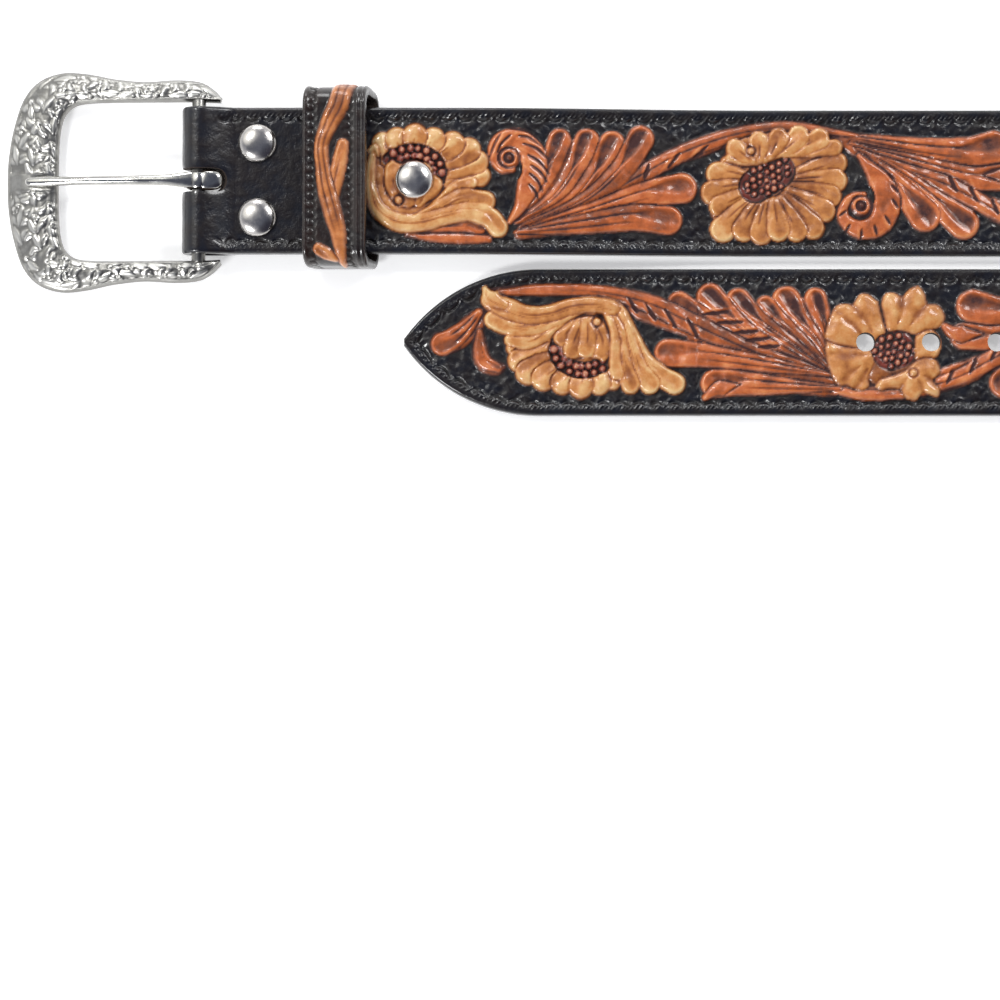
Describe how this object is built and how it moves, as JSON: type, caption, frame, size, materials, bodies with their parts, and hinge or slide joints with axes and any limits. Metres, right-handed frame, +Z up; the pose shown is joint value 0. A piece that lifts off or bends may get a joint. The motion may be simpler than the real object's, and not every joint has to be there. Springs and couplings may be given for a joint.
{
  "type": "belt",
  "caption": "Carved leather belt lying open with its face up: pointed tip, punched holes, cast buckle with prong, leather keeper and domed snaps",
  "frame": {"origin": "middle of the belt's box, on the surface that it lies on", "axes": "+X along the two ends, from the buckle towards the loop; +Y across them, towards the buckle end; +Z up, out of the carved face"},
  "size_m": [0.5944, 0.1178, 0.0382],
  "materials": {
    "strap_leather": "hand carved, black dyed ground, russet leaves and tan flowers, glossy",
    "keeper_leather": "carved band with stamped borders and a russet leaf, glossy",
    "buckle_metal": "cast and engraved, bright silver with grey hollows",
    "prong_metal": "polished",
    "snap_metal": "satin nickel"
  },
  "bodies": {
    "strap": {"strap": "strap_leather", "keeper": "keeper_leather", "snap_upper": "snap_metal", "snap_lower": "snap_metal", "snap_flower": "snap_metal"},
    "buckle": {"buckle_frame": "buckle_metal"},
    "prong": {"prong": "prong_metal"}
  },
  "joints": [
    {"name": "buckle_swing", "type": "hinge", "parent": "strap", "child": "buckle", "pos_m": [-0.24706, 0.02075, 0.0066], "axis": [0, 1, 0], "range_deg": [0, 40]},
    {"name": "prong_swing", "type": "hinge", "parent": "buckle", "child": "prong", "pos_m": [-0.24706, 0.02075, 0.0066], "axis": [0, 1, 0], "range_deg": [0, 90]}
  ]
}
